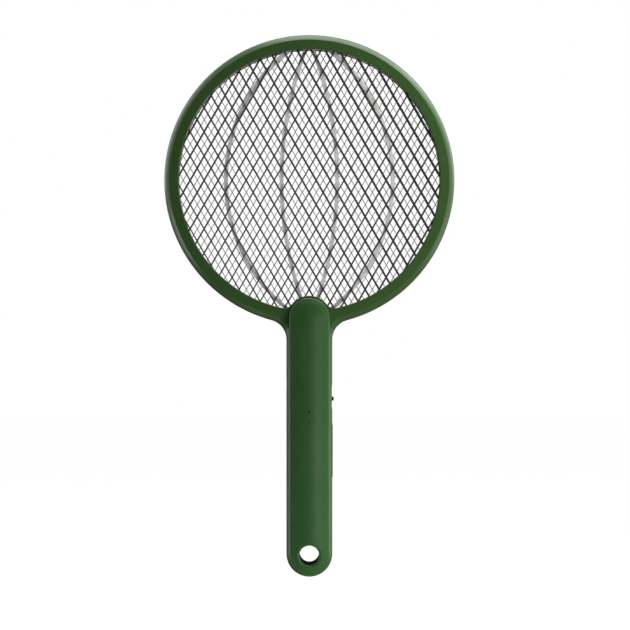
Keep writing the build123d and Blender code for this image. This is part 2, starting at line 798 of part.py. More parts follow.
with BuildPart() as transistor:
    with BuildSketch(on_board(transistor_x, transistor_z)):
        Circle(transistor_d / 2)
        with Locations((0, -transistor_d / 2)):
            Rectangle(transistor_d, transistor_flat, align=(Align.CENTER, Align.MIN), mode=Mode.SUBTRACT)
    extrude(amount=transistor_d)
save("transistor", transistor.part)


def axial_parts(points, upright, body_d, body_l, wire_d, wire_span):
    """Round-bodied parts with a wire out of each end that bends down to the board."""
    with BuildPart() as group:
        for x, z in points:
            plane = Plane(
                origin=(x, board_front_y - body_d / 2, z),
                z_dir=(0, 0, 1) if upright else (1, 0, 0),
                x_dir=(0, 1, 0),
            )
            with BuildSketch(plane):
                Circle(body_d / 2)
            extrude(amount=body_l / 2, both=True)
            with BuildSketch(plane):
                Circle(wire_d / 2)
            extrude(amount=wire_span / 2, both=True)
            for end in (-1, 1):
                step = end * (wire_span - wire_d) / 2
                foot = (x, z + step) if upright else (x + step, z)
                with BuildSketch(on_board(*foot)):
                    Circle(wire_d / 2)
                extrude(amount=body_d / 2)
    return group.part


save("diodes", axial_parts(diode_points, True, diode_d, diode_l, diode_wire_d, diode_span))
save(
    "resistors",
    axial_parts(resistor_points, False, resistor_d, resistor_l, resistor_wire_d, resistor_span),
)

with BuildPart() as control_chip:
    with BuildSketch(on_board(chip_x, chip_z).offset(chip_standoff)):
        Rectangle(chip_w, chip_l)
    extrude(amount=chip_t)
    chamfer(control_chip.faces().sort_by(Axis.Y)[0].edges(), chip_chamfer)
    with BuildSketch(on_board(chip_x, chip_z)):
        with GridLocations(chip_w + chip_leg_l, chip_leg_pitch, 2, 4):
            Rectangle(2 * chip_leg_l, chip_leg_w)
    extrude(amount=chip_standoff + chip_leg_t)
save("control_chip", control_chip.part)

# ---------------------------------------------------------------- battery
with BuildPart() as battery_cell:
    with BuildSketch(Plane.XY.offset(cell_z)):
        Circle(cell_d / 2)
    extrude(amount=cell_l - cell_nub_h)
    fillet(battery_cell.edges().filter_by(GeomType.CIRCLE), cell_round)
    with BuildSketch(Plane.XY.offset(cell_z + cell_l - cell_nub_h)):
        Circle(cell_nub_d / 2)
    extrude(amount=cell_nub_h)
save("battery_cell", battery_cell.part)

with BuildPart() as battery_tabs:
    with BuildSketch(Plane.XY.offset(cell_z + cell_l)):
        with Locations((red_lead_x / 2, 0)):
            Rectangle(abs(red_lead_x) + tab_strip_w, tab_strip_w)
    extrude(amount=tab_t)
    with BuildSketch(Plane.XY.offset(cell_z - tab_t)):
        reach = Vector(black_lead_x, black_lead_y)
        with Locations(Location((reach.X / 2, reach.Y / 2, 0), (0, 0, degrees(atan2(reach.Y, reach.X))))):
            Rectangle(reach.length + lead_d, tab_strip_w)
    extrude(amount=tab_t)
save("battery_tabs", battery_tabs.part)

with BuildPart() as battery_pad:
    with BuildSketch(at(-cell_d / 2 - cell_gap)):
        with Locations((0, cell_z + cell_l / 2)):
            Rectangle(2 * pad_half_w, pad_l)
    extrude(amount=crown_inner_y - cell_d / 2 - cell_gap - pad_crown_gap)
save("battery_pad", battery_pad.part)


# ---------------------------------------------------------------- leads
def bend_radii(points):
    """For each corner of a route, the largest radius that leaves a little straight run."""
    corners = []
    for before, here, after in zip(points, points[1:], points[2:]):
        run_in, run_out = Vector(*here) - Vector(*before), Vector(*after) - Vector(*here)
        half_turn = radians(run_in.get_angle(run_out) / 2)
        corners.append(lead_slack * min(run_in.length, run_out.length) / tan(half_turn))
    return corners


def lead(*points):
    """A round insulated wire along a route."""
    with BuildPart() as wire:
        with BuildLine() as route:
            FilletPolyline(*points, radius=bend_radii(points))
        with BuildSketch(Plane(origin=route.line @ 0, z_dir=route.line % 0)):
            Circle(lead_d / 2)
        sweep(path=route.line)
    return wire.part


pad_y = board_front_y - lead_d / 2  # a lead lies on the board's front face
tab_reach_y = wire_t / 2 + lead_d / 2  # from a coarse grid's middle to a lead on its tab
front_lead_y = front_grid_y + tab_reach_y
rear_lead_y = rear_grid_y - tab_reach_y
mid_lead_y = hv_wire_t / 2 + lead_d / 2
save(
    "front_grid_lead",
    lead((-6.5, pad_y, 74.5), (-6.5, pad_y, 83), (-tab_x, front_lead_y, 92), (-tab_x, front_lead_y, 107)),
)
save(
    "mid_grid_lead",
    lead((5.4, pad_y, 74.5), (5.4, pad_y, 93), (0, mid_lead_y, 100), (0, mid_lead_y, 109)),
)
save(
    "rear_grid_lead",
    lead((7.6, pad_y, 74.5), (7.6, pad_y, 84), (tab_x, rear_lead_y, 93), (tab_x, rear_lead_y, 107)),
)
cell_top = cell_z + cell_l + tab_t
save(
    "red_battery_lead",
    lead((red_lead_x, -1.5, cell_top), (red_lead_x, -1.5, 3), (-6.2, pad_y, 9.5), (-6.2, pad_y, 15)),
)
back_pad_y = board_back_y + lead_d / 2
save(
    "black_battery_lead",
    lead(
        (black_lead_x, black_lead_y, cell_z),
        (black_lead_x, black_lead_y, -4),
        (-5.6, back_pad_y, 5),
        (-5.6, back_pad_y, 15),
    ),
)
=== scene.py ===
"""Electric bug zapper: its finishes, the crossed wires of its grids, and a plain studio.

Metres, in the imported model's frame: +Z runs up the handle, the front faces -Y.
"""
from math import atan2, ceil, cos, pi, radians, sin, sqrt

import bpy
import bmesh
from mathutils import Matrix, Vector


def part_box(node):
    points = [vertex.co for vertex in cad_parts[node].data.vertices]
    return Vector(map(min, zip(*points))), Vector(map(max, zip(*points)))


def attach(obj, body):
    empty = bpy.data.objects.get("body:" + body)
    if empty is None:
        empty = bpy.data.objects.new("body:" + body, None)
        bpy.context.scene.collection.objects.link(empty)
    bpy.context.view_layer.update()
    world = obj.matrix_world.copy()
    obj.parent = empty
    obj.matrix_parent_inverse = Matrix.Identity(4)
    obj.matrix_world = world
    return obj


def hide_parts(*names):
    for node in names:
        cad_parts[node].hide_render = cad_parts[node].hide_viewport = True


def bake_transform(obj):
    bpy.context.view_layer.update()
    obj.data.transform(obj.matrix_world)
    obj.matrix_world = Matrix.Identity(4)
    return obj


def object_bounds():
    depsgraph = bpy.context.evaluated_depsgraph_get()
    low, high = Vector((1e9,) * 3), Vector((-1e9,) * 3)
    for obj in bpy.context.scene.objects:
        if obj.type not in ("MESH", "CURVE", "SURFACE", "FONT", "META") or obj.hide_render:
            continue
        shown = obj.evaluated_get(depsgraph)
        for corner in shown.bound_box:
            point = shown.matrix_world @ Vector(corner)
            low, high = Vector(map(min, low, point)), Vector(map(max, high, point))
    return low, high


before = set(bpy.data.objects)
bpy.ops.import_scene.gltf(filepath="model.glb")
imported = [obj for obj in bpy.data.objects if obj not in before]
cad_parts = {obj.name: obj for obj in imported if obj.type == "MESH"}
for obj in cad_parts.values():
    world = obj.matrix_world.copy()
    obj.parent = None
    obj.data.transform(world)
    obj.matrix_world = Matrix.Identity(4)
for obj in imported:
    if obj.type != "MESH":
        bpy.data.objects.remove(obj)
cad_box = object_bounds()

MM = 0.001

# ---------------------------------------------------------------- sizes
# Grids
COARSE_WIRE = 1.0 * MM
FINE_WIRE = 0.62 * MM
PITCH = 9.2 * MM  # square across the wires
TILT = radians(60)  # wires from the level
REAR_SLIP = -0.3 * MM  # the rear grid's wires lie this far aside of the front grid's
WIRE_SIDES = 10
HOOP_W = 1.6 * MM  # flat hoop that the wires are welded to
TAB_W = 3.5 * MM
TAB_X = 9.0 * MM
HEAD_STEPS, CORNER_STEPS, ARCH_STEPS = 200, 10, 24  # along the hoop's arcs
# The grids' outline, which rises over the cover's arch
LEDGE = 1.4 * MM  # shell's edge round the arch
CROTCH = 7.0 * MM  # inside corner between the opening and the arch
CLAMP = 2.4 * MM  # held under the shell's edge
# Crowned top of the cover
CROWN_R = 36.0 * MM
# Charge mark under the lamp
MARK_H = 4.5 * MM
MARK_DROP = 7.5 * MM  # from the lamp's centre to the mark's
PRINT_T = 0.02 * MM
# Push bar's springs
SPRING_WIRE = 0.4 * MM
SPRING_TURNS = 6  # the two at the ends lie closed
CLOSED_PITCH = 1.1 * SPRING_WIRE
STEPS_A_TURN = 24
# What the finishes show
RESISTOR_BODY = 6.2 * MM
DIODE_BODY = 5.2 * MM
PHOSPHOR_R = 1.1 * MM
BARE_END = 0.9 * MM  # of the cell's case, past its sleeve
# Faces that meet at more than this keep a crisp edge
CRISP = radians(40)


# ---------------------------------------------------------------- small tools for finishes
MIX_SHARE, MIX_FIRST, MIX_SECOND, MIXED = 0, 6, 7, 2  # a colour Mix node's sockets
NOISE_SPAN = {"From Min": 0.3, "From Max": 0.7}  # nearly all of a noise's values lie in it


def linear(code):
    """An sRGB hex colour as linear red, green, blue and alpha."""
    parts = [int(code[i : i + 2], 16) / 255 for i in (0, 2, 4)]
    return [p / 12.92 if p <= 0.04045 else ((p + 0.055) / 1.055) ** 2.4 for p in parts] + [1.0]


def add(tree, kind, inputs=None, **settings):
    """Adds one shader node and gives back its outputs. An input is a value or another node's output."""
    node = tree.nodes.new("ShaderNode" + kind)
    for name, value in settings.items():
        setattr(node, name, value)
    for name, value in (inputs or {}).items():
        if isinstance(value, bpy.types.NodeSocket):
            tree.links.new(value, node.inputs[name])
        else:
            node.inputs[name].default_value = value
    return node.outputs


def material(name, surface, *choices):
    """A material whose shader takes what surface() works out from the place on the object."""
    made = bpy.data.materials.new(name)
    made.use_nodes = True
    tree = made.node_tree
    tree.nodes.clear()
    place = add(tree, "TexCoord")["Object"]
    shader = add(tree, "BsdfPrincipled", surface(tree, place, *choices))
    add(tree, "OutputMaterial", {"Surface": shader["BSDF"]})
    return made


# ---------------------------------------------------------------- finishes outside
# Grit, skins and die marks are finer than this in truth: they are drawn 0.25 to 0.5 mm across to show.


def moulded_abs(tree, place, dark, pale):
    """ABS dyed green right through, moulded against a spark-eroded tool.

    The tool's pits leave a satin grain that spreads the lights over it, and the dye clouds a
    little where the melt flowed. Real pits are 0.1 mm, and these are 0.9 mm so that they show.
    """
    flow = add(tree, "TexNoise", {"Vector": place, "Scale": 1 / (34 * MM), "Detail": 3})["Fac"]
    green = {MIX_SHARE: flow, MIX_FIRST: linear(dark), MIX_SECOND: linear(pale)}
    handled = add(tree, "TexNoise", {"Vector": place, "Scale": 1 / (9 * MM), "Detail": 3})["Fac"]
    satin = {"Value": handled, **NOISE_SPAN, "To Min": 0.29, "To Max": 0.36}
    pits = add(tree, "TexNoise", {"Vector": place, "Scale": 1 / (0.9 * MM), "Detail": 1})["Fac"]
    return {
        "Base Color": add(tree, "Mix", green, data_type="RGBA")[MIXED],
        "Roughness": add(tree, "MapRange", satin)["Result"],
        "Normal": add(tree, "Bump", {"Height": pits, "Distance": 0.006 * MM})["Normal"],
        "IOR": 1.53,
    }


def plated_wire(tree, place):
    """Steel wire drawn, welded and then plated in dull zinc-nickel.

    The plating is painted a dark warm grey, darker than the metal is: painted shade for the grids'
    shaded front. It reflects softly, in cloudy patches left by the bath.
    """
    bath = add(tree, "TexNoise", {"Vector": place, "Scale": 1 / (5 * MM)})["Fac"]
    # painted shade: both greys are darker than the plating, and stand in for the shade on the wires
    grey = {MIX_SHARE: bath, MIX_FIRST: linear("4c4b48"), MIX_SECOND: linear("6b6a66")}
    dull = {"Value": bath, **NOISE_SPAN, "To Min": 0.44, "To Max": 0.34}
    grit = add(tree, "TexNoise", {"Vector": place, "Scale": 1 / (0.5 * MM)})["Fac"]
    return {
        "Base Color": add(tree, "Mix", grey, data_type="RGBA")[MIXED],
        "Roughness": add(tree, "MapRange", dull)["Result"],
        "Normal": add(tree, "Bump", {"Height": grit, "Distance": 0.008 * MM})["Normal"],
        "Metallic": 1.0,
    }


def bright_wire(tree, place):
    """Bright drawn steel wire, tinned so that it stays conductive.

    It is paler and shinier than the grids beside it, with faint marks of the drawing die.
    """
    tin = add(tree, "TexNoise", {"Vector": place, "Scale": 1 / (4 * MM)})["Fac"]
    silver = {MIX_SHARE: tin, MIX_FIRST: linear("a3a29d"), MIX_SECOND: linear("c8c7c3")}
    shine = {"Value": tin, **NOISE_SPAN, "To Min": 0.34, "To Max": 0.22}
    die = add(tree, "TexNoise", {"Vector": place, "Scale": 1 / (0.4 * MM)})["Fac"]
    return {
        "Base Color": add(tree, "Mix", silver, data_type="RGBA")[MIXED],
        "Roughness": add(tree, "MapRange", shine)["Result"],
        "Normal": add(tree, "Bump", {"Height": die, "Distance": 0.005 * MM})["Normal"],
        "Metallic": 1.0,
    }


def natural_nylon(tree, place):
    """Undyed nylon, moulded: pale grey and waxy, it lets a little light in, with faint clouds."""
    flow = add(tree, "TexNoise", {"Vector": place, "Scale": 1 / (12 * MM), "Detail": 3})["Fac"]
    pale = {MIX_SHARE: flow, MIX_FIRST: linear("d0d0cd"), MIX_SECOND: linear("dcdcd9")}
    wax = add(tree, "TexNoise", {"Vector": place, "Scale": 1 / (3 * MM)})["Fac"]
    sheen = {"Value": wax, **NOISE_SPAN, "To Min": 0.42, "To Max": 0.55}
    skin = add(tree, "TexNoise", {"Vector": place, "Scale": 1 / (0.5 * MM)})["Fac"]
    return {
        "Base Color": add(tree, "Mix", pale, data_type="RGBA")[MIXED],
        "Roughness": add(tree, "MapRange", sheen)["Result"],
        "Normal": add(tree, "Bump", {"Height": skin, "Distance": 0.01 * MM})["Normal"],
        "IOR": 1.53,
        "Subsurface Weight": 0.15,
        "Subsurface Radius": (1.0, 1.0, 1.0),
        "Subsurface Scale": 1.0 * MM,
    }


def black_acetal(tree, place):
    """Black acetal, moulded, for what fingers slide and press: greasy-smooth, shinier where rubbed."""
    rubbed = add(tree, "TexNoise", {"Vector": place, "Scale": 1 / (4 * MM), "Detail": 3})["Fac"]
    black = {MIX_SHARE: rubbed, MIX_FIRST: linear("141613"), MIX_SECOND: linear("232622")}
    sheen = {"Value": rubbed, **NOISE_SPAN, "To Min": 0.44, "To Max": 0.3}
    skin = add(tree, "TexNoise", {"Vector": place, "Scale": 1 / (0.4 * MM), "Detail": 3})["Fac"]
    return {
        "Base Color": add(tree, "Mix", black, data_type="RGBA")[MIXED],
        "Roughness": add(tree, "MapRange", sheen)["Result"],
        "Normal": add(tree, "Bump", {"Height": skin, "Distance": 0.01 * MM})["Normal"],
        "IOR": 1.48,
    }


def zinc_plated(tree, place):
    """Steel screws, cold-headed, plated with zinc and passivated: bluish white, in fine patches."""
    passive = add(tree, "TexNoise", {"Vector": place, "Scale": 1 / (1.2 * MM)})["Fac"]
    zinc = {MIX_SHARE: passive, MIX_FIRST: linear("a2a6aa"), MIX_SECOND: linear("c8c8c4")}
    shine = {"Value": passive, **NOISE_SPAN, "To Min": 0.4, "To Max": 0.24}
    # marks of the heading die run round the screw, drawn out across its length
    drawn = add(tree, "Mapping", {"Vector": place, "Scale": (1.0, 8.0, 1.0)})["Vector"]
    marks = add(tree, "TexNoise", {"Vector": drawn, "Scale": 1 / (1.5 * MM)})["Fac"]
    return {
        "Base Color": add(tree, "Mix", zinc, data_type="RGBA")[MIXED],
        "Roughness": add(tree, "MapRange", shine)["Result"],
        "Normal": add(tree, "Bump", {"Height": marks, "Distance": 0.01 * MM})["Normal"],
        "Metallic": 1.0,
    }


def nickel_shell(tree, place):
    """Steel sheet drawn into a socket, nickel plated: smooth, warm, and nearly a mirror."""
    bath = add(tree, "TexNoise", {"Vector": place, "Scale": 1 / (2 * MM)})["Fac"]
    nickel = {MIX_SHARE: bath, MIX_FIRST: linear("afaba2"), MIX_SECOND: linear("cdcac2")}
    shine = {"Value": bath, **NOISE_SPAN, "To Min": 0.28, "To Max": 0.16}
    # scuffs of the plug run in and out of the socket
    drawn = add(tree, "Mapping", {"Vector": place, "Scale": (0.1, 1.0, 1.0)})["Vector"]
    scuffs = add(tree, "TexNoise", {"Vector": drawn, "Scale": 1 / (0.3 * MM)})["Fac"]
    return {
        "Base Color": add(tree, "Mix", nickel, data_type="RGBA")[MIXED],
        "Roughness": add(tree, "MapRange", shine)["Result"],
        "Normal": add(tree, "Bump", {"Height": scuffs, "Distance": 0.004 * MM})["Normal"],
        "Metallic": 1.0,
    }


def smoked_acrylic(tree, place):
    """Deep green acrylic rod, cut to a light pipe: it looks dark until the lamp behind it is lit."""
    tint = add(tree, "TexNoise", {"Vector": place, "Scale": 1 / (1 * MM)})["Fac"]
    green = {MIX_SHARE: tint, MIX_FIRST: linear("1c4017"), MIX_SECOND: linear("26501f")}
    sawn = {"Value": tint, **NOISE_SPAN, "To Min": 0.12, "To Max": 0.26}
    saw = add(tree, "TexNoise", {"Vector": place, "Scale": 1 / (0.25 * MM)})["Fac"]
    return {
        "Base Color": add(tree, "Mix", green, data_type="RGBA")[MIXED],
        "Roughness": add(tree, "MapRange", sawn)["Result"],
        "Normal": add(tree, "Bump", {"Height": saw, "Distance": 0.004 * MM})["Normal"],
        "IOR": 1.49,
        "Transmission Weight": 0.1,
    }


def pad_print(tree, place):
    """Ink pressed on by a pad: flat, matt, and a shade darker than the plastic under it."""
    pooled = add(tree, "TexNoise", {"Vector": place, "Scale": 1 / (0.8 * MM), "Detail": 3})["Fac"]
    ink = {MIX_SHARE: pooled, MIX_FIRST: linear("0c290b"), MIX_SECOND: linear("123511")}
    matt = {"Value": pooled, **NOISE_SPAN, "To Min": 0.5, "To Max": 0.62}
    film = add(tree, "TexNoise", {"Vector": place, "Scale": 1 / (0.3 * MM)})["Fac"]
    return {
        "Base Color": add(tree, "Mix", ink, data_type="RGBA")[MIXED],
        "Roughness": add(tree, "MapRange", matt)["Result"],
        "Normal": add(tree, "Bump", {"Height": film, "Distance": 0.004 * MM})["Normal"],
        "IOR": 1.5,
    }


# ---------------------------------------------------------------- finishes inside
def filled_nylon(tree, place):
    """Black glass-filled nylon of switches and chips, moulded: matt, with pale fibre ends in its skin.

    Real fibre ends are 0.01 mm, and these are 0.15 mm so that they show.
    """
    ends = add(tree, "TexVoronoi", {"Vector": place, "Scale": 1 / (0.5 * MM)})["Distance"]
    fibres = {"Value": ends, "From Min": 0.05, "From Max": 0.2, "To Min": 0.25, "To Max": 0.0}
    melt = add(tree, "TexNoise", {"Vector": place, "Scale": 1 / (3 * MM)})["Fac"]
    black = {MIX_SHARE: melt, MIX_FIRST: linear("131314"), MIX_SECOND: linear("1f1f21")}
    speckled = {
        MIX_SHARE: add(tree, "MapRange", fibres)["Result"],
        MIX_FIRST: add(tree, "Mix", black, data_type="RGBA")[MIXED],
        MIX_SECOND: linear("6a6a6a"),
    }
    matt = {"Value": melt, **NOISE_SPAN, "To Min": 0.5, "To Max": 0.65}
    return {
        "Base Color": add(tree, "Mix", speckled, data_type="RGBA")[MIXED],
        "Roughness": add(tree, "MapRange", matt)["Result"],
        "Normal": add(tree, "Bump", {"Height": ends, "Distance": 0.012 * MM})["Normal"],
        "IOR": 1.53,
    }


def banded_body(tree, place, node, axis, body_l, skin, rings):
    """A lacquered round body with painted rings, and tinned copper wire beyond its two ends.

    The lacquer is dipped, so it is glossy and a little uneven, and the tin is satin.
    """
    low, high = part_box(node)
    middle = ((low + high) / 2)["XYZ".index(axis)]
    across = add(tree, "SeparateXYZ", {"Vector": place})[axis]
    along = add(tree, "Math", {0: across, 1: middle}, operation="SUBTRACT")["Value"]
    reach = add(tree, "Math", {0: along}, operation="ABSOLUTE")["Value"]
    wire = add(tree, "Math", {0: reach, 1: body_l / 2}, operation="GREATER_THAN")["Value"]
    dip = add(tree, "TexNoise", {"Vector": place, "Scale": 1 / (2 * MM)})["Fac"]
    lacquer = {MIX_SHARE: dip, MIX_FIRST: linear(skin[0]), MIX_SECOND: linear(skin[1])}
    colour = add(tree, "Mix", lacquer, data_type="RGBA")[MIXED]
    for step, width, code in rings:
        painted = {0: along, 1: step, 2: width / 2}
        ring = add(tree, "Math", painted, operation="COMPARE")["Value"]
        layer = {MIX_SHARE: ring, MIX_FIRST: colour, MIX_SECOND: linear(code)}
        colour = add(tree, "Mix", layer, data_type="RGBA")[MIXED]
    ends = {MIX_SHARE: wire, MIX_FIRST: colour, MIX_SECOND: linear("c4c4bf")}
    gloss = {"Value": dip, **NOISE_SPAN, "To Min": 0.22, "To Max": 0.36}
    return {
        "Base Color": add(tree, "Mix", ends, data_type="RGBA")[MIXED],
        "Metallic": wire,
        "Roughness": add(tree, "MapRange", gloss)["Result"],
        "Normal": add(tree, "Bump", {"Height": dip, "Distance": 0.03 * MM})["Normal"],
        "IOR": 1.5,
    }


def solder_mask(tree, place):
    """Glass-epoxy board under printed green mask: copper tracks show paler and stand a hair proud."""
    where = {"Vector": place, "Scale": 1 / (5.2 * MM), "Randomness": 0.9}
    lanes = add(tree, "TexVoronoi", where, distance="MANHATTAN")["Color"]
    copper = {"Value": lanes, "From Min": 0.45, "From Max": 0.5}
    tracks = add(tree, "MapRange", copper)["Result"]
    weave = add(tree, "TexNoise", {"Vector": place, "Scale": 1 / (0.8 * MM)})["Fac"]
    laminate = {MIX_SHARE: weave, MIX_FIRST: linear("0c4620"), MIX_SECOND: linear("12582a")}
    mask = {
        MIX_SHARE: tracks,
        MIX_FIRST: add(tree, "Mix", laminate, data_type="RGBA")[MIXED],
        MIX_SECOND: linear("1f7038"),
    }
    gloss = {"Value": weave, **NOISE_SPAN, "To Min": 0.28, "To Max": 0.4}
    return {
        "Base Color": add(tree, "Mix", mask, data_type="RGBA")[MIXED],
        "Roughness": add(tree, "MapRange", gloss)["Result"],
        "Normal": add(tree, "Bump", {"Height": tracks, "Distance": 0.03 * MM})["Normal"],
        "IOR": 1.5,
    }


def ferrite(tree, place):
    """Ferrite, pressed, sintered and ground flat: charcoal grey and dull, with open pores."""
    cells = add(tree, "TexVoronoi", {"Vector": place, "Scale": 1 / (0.6 * MM)})["Distance"]
    open_pores = {"Value": cells, "From Min": 0.02, "From Max": 0.2}
    pores = add(tree, "MapRange", open_pores)["Result"]
    cloud = add(tree, "TexNoise", {"Vector": place, "Scale": 1 / (4 * MM)})["Fac"]
    ground = {MIX_SHARE: cloud, MIX_FIRST: linear("2e2e32"), MIX_SECOND: linear("3d3d40")}
    pitted = {
        MIX_SHARE: pores,
        MIX_FIRST: linear("161616"),
        MIX_SECOND: add(tree, "Mix", ground, data_type="RGBA")[MIXED],
    }
    dull = {"Value": cloud, **NOISE_SPAN, "To Min": 0.45, "To Max": 0.62}
    return {
        "Base Color": add(tree, "Mix", pitted, data_type="RGBA")[MIXED],
        "Roughness": add(tree, "MapRange", dull)["Result"],
        "Normal": add(tree, "Bump", {"Height": pores, "Distance": 0.03 * MM})["Normal"],
        "IOR": 2.0,
    }


def taped_winding(tree, place):
    """A coil wrapped in yellow polyester tape: glossy, with the turns of wire under it as ridges.

    Real turns are 0.2 mm, and these are 1 mm so that they show.
    """
    where = {"Vector": place, "Scale": 1 / (3.2 * MM)}
    turns = add(tree, "TexWave", where, bands_direction="Z")["Fac"]
    tape = {MIX_SHARE: turns, MIX_FIRST: linear("c4932a"), MIX_SECOND: linear("dcab32")}
    wrap = add(tree, "TexNoise", {"Vector": place, "Scale": 1 / (2 * MM)})["Fac"]
    gloss = {"Value": wrap, **NOISE_SPAN, "To Min": 0.18, "To Max": 0.32}
    return {
        "Base Color": add(tree, "Mix", tape, data_type="RGBA")[MIXED],
        "Roughness": add(tree, "MapRange", gloss)["Result"],
        "Normal": add(tree, "Bump", {"Height": turns, "Distance": 0.08 * MM})["Normal"],
        "IOR": 1.6,
    }


def dipped_epoxy(tree, place):
    """Film capacitors dipped in red-brown epoxy: thick, glossy, and slightly lumpy."""
    lumps = add(tree, "TexNoise", {"Vector": place, "Scale": 1 / (2.4 * MM), "Detail": 3})["Fac"]
    red = {MIX_SHARE: lumps, MIX_FIRST: linear("772012"), MIX_SECOND: linear("96311e")}
    gloss = {"Value": lumps, **NOISE_SPAN, "To Min": 0.34, "To Max": 0.2}
    return {
        "Base Color": add(tree, "Mix", red, data_type="RGBA")[MIXED],
        "Roughness": add(tree, "MapRange", gloss)["Result"],
        "Normal": add(tree, "Bump", {"Height": lumps, "Distance": 0.12 * MM})["Normal"],
        "IOR": 1.55,
        "Coat Weight": 0.5,
    }


def lamp_package(tree, place):
    """A surface lamp: a white ceramic-filled body, moulded, round a domed yellow pool of phosphor."""
    low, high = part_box("indicator_led")
    middle = (low + high) / 2
    ends = {0: place, 1: (middle.x, low.y, middle.z)}
    reach = add(tree, "VectorMath", ends, operation="DISTANCE")["Value"]
    pool = add(tree, "Math", {0: reach, 1: PHOSPHOR_R}, operation="LESS_THAN")["Value"]
    grain = add(tree, "TexNoise", {"Vector": place, "Scale": 1 / (0.8 * MM)})["Fac"]
    body = {MIX_SHARE: grain, MIX_FIRST: linear("d8d8d2"), MIX_SECOND: linear("eeeeea")}
    filled = {
        MIX_SHARE: pool,
        MIX_FIRST: add(tree, "Mix", body, data_type="RGBA")[MIXED],
        MIX_SECOND: linear("d9c24a"),
    }
    sheen = {"Value": grain, **NOISE_SPAN, "To Min": 0.3, "To Max": 0.45}
    return {
        "Base Color": add(tree, "Mix", filled, data_type="RGBA")[MIXED],
        "Roughness": add(tree, "MapRange", sheen)["Result"],
        "Normal": add(tree, "Bump", {"Height": grain, "Distance": 0.01 * MM})["Normal"],
        "IOR": 1.5,
    }


def sleeved_cell(tree, place):
    """A battery cell in shrunk PVC sleeve: shiny, creased lengthways, and bare steel at both ends."""
    low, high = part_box("battery_cell")
    up = add(tree, "SeparateXYZ", {"Vector": place})["Z"]
    off = add(tree, "Math", {0: up, 1: (low.z + high.z) / 2}, operation="SUBTRACT")["Value"]
    reach = add(tree, "Math", {0: off}, operation="ABSOLUTE")["Value"]
    sleeve_half = (high.z - low.z) / 2 - BARE_END
    steel = add(tree, "Math", {0: reach, 1: sleeve_half}, operation="GREATER_THAN")["Value"]
    drawn = add(tree, "Mapping", {"Vector": place, "Scale": (1.0, 1.0, 0.15)})["Vector"]
    creases = add(tree, "TexNoise", {"Vector": drawn, "Scale": 1 / (1.2 * MM), "Detail": 3})["Fac"]
    blue = {MIX_SHARE: creases, MIX_FIRST: linear("1b4b80"), MIX_SECOND: linear("25609d")}
    ends = {
        MIX_SHARE: steel,
        MIX_FIRST: add(tree, "Mix", blue, data_type="RGBA")[MIXED],
        MIX_SECOND: linear("b9b6ae"),
    }
    gloss = {"Value": creases, **NOISE_SPAN, "To Min": 0.34, "To Max": 0.2}
    return {
        "Base Color": add(tree, "Mix", ends, data_type="RGBA")[MIXED],
        "Metallic": steel,
        "Roughness": add(tree, "MapRange", gloss)["Result"],
        "Normal": add(tree, "Bump", {"Height": creases, "Distance": 0.05 * MM})["Normal"],
        "IOR": 1.54,
    }


def rolled_nickel(tree, place):
    """Thin nickel strip, cold rolled: satin, with fine lines along the way that it was rolled."""
    drawn = add(tree, "Mapping", {"Vector": place, "Scale": (0.05, 1.0, 1.0)})["Vector"]
    lines = add(tree, "TexNoise", {"Vector": drawn, "Scale": 1 / (0.25 * MM)})["Fac"]
    nickel = {MIX_SHARE: lines, MIX_FIRST: linear("a5a299"), MIX_SECOND: linear("c0bdb4")}
    satin = {"Value": lines, **NOISE_SPAN, "To Min": 0.28, "To Max": 0.4}
    return {
        "Base Color": add(tree, "Mix", nickel, data_type="RGBA")[MIXED],
        "Roughness": add(tree, "MapRange", satin)["Result"],
        "Normal": add(tree, "Bump", {"Height": lines, "Distance": 0.006 * MM})["Normal"],
        "Metallic": 1.0,
    }


def music_wire(tree, place):
    """Music wire, drawn and wound to springs: blue-grey, with fine marks of the drawing die."""
    die = add(tree, "TexNoise", {"Vector": place, "Scale": 1 / (0.4 * MM)})["Fac"]
    steel = {MIX_SHARE: die, MIX_FIRST: linear("7f8389"), MIX_SECOND: linear("a5a8ab")}
    shine = {"Value": die, **NOISE_SPAN, "To Min": 0.38, "To Max": 0.25}
    return {
        "Base Color": add(tree, "Mix", steel, data_type="RGBA")[MIXED],
        "Roughness": add(tree, "MapRange", shine)["Result"],
        "Normal": add(tree, "Bump", {"Height": die, "Distance": 0.004 * MM})["Normal"],
        "Metallic": 1.0,
    }


def closed_foam(tree, place):
    """Black closed-cell foam, cut from sheet: dead matt, with the skins of its cells as small domes."""
    domes = add(tree, "TexVoronoi", {"Vector": place, "Scale": 1 / (0.7 * MM)})["Distance"]
    black = {MIX_SHARE: domes, MIX_FIRST: linear("2c2c2c"), MIX_SECOND: linear("121212")}
    matt = {"Value": domes, "From Max": 0.6, "To Min": 0.8, "To Max": 0.95}
    return {
        "Base Color": add(tree, "Mix", black, data_type="RGBA")[MIXED],
        "Roughness": add(tree, "MapRange", matt)["Result"],
        "Normal": add(tree, "Bump", {"Height": domes, "Distance": -0.2 * MM})["Normal"],
        "IOR": 1.4,
    }


def wire_sleeve(tree, place, dark, pale):
    """PVC drawn over stranded wire: a soft sheen, and the strands' twist just shows through."""
    drawn = add(tree, "Mapping", {"Vector": place, "Scale": (1.0, 1.0, 0.4)})["Vector"]
    twist = add(tree, "TexNoise", {"Vector": drawn, "Scale": 1 / (1.6 * MM)})["Fac"]
    dye = {MIX_SHARE: twist, MIX_FIRST: linear(dark), MIX_SECOND: linear(pale)}
    sheen = {"Value": twist, **NOISE_SPAN, "To Min": 0.5, "To Max": 0.38}
    return {
        "Base Color": add(tree, "Mix", dye, data_type="RGBA")[MIXED],
        "Roughness": add(tree, "MapRange", sheen)["Result"],
        "Normal": add(tree, "Bump", {"Height": twist, "Distance": 0.05 * MM})["Normal"],
        "IOR": 1.54,
    }


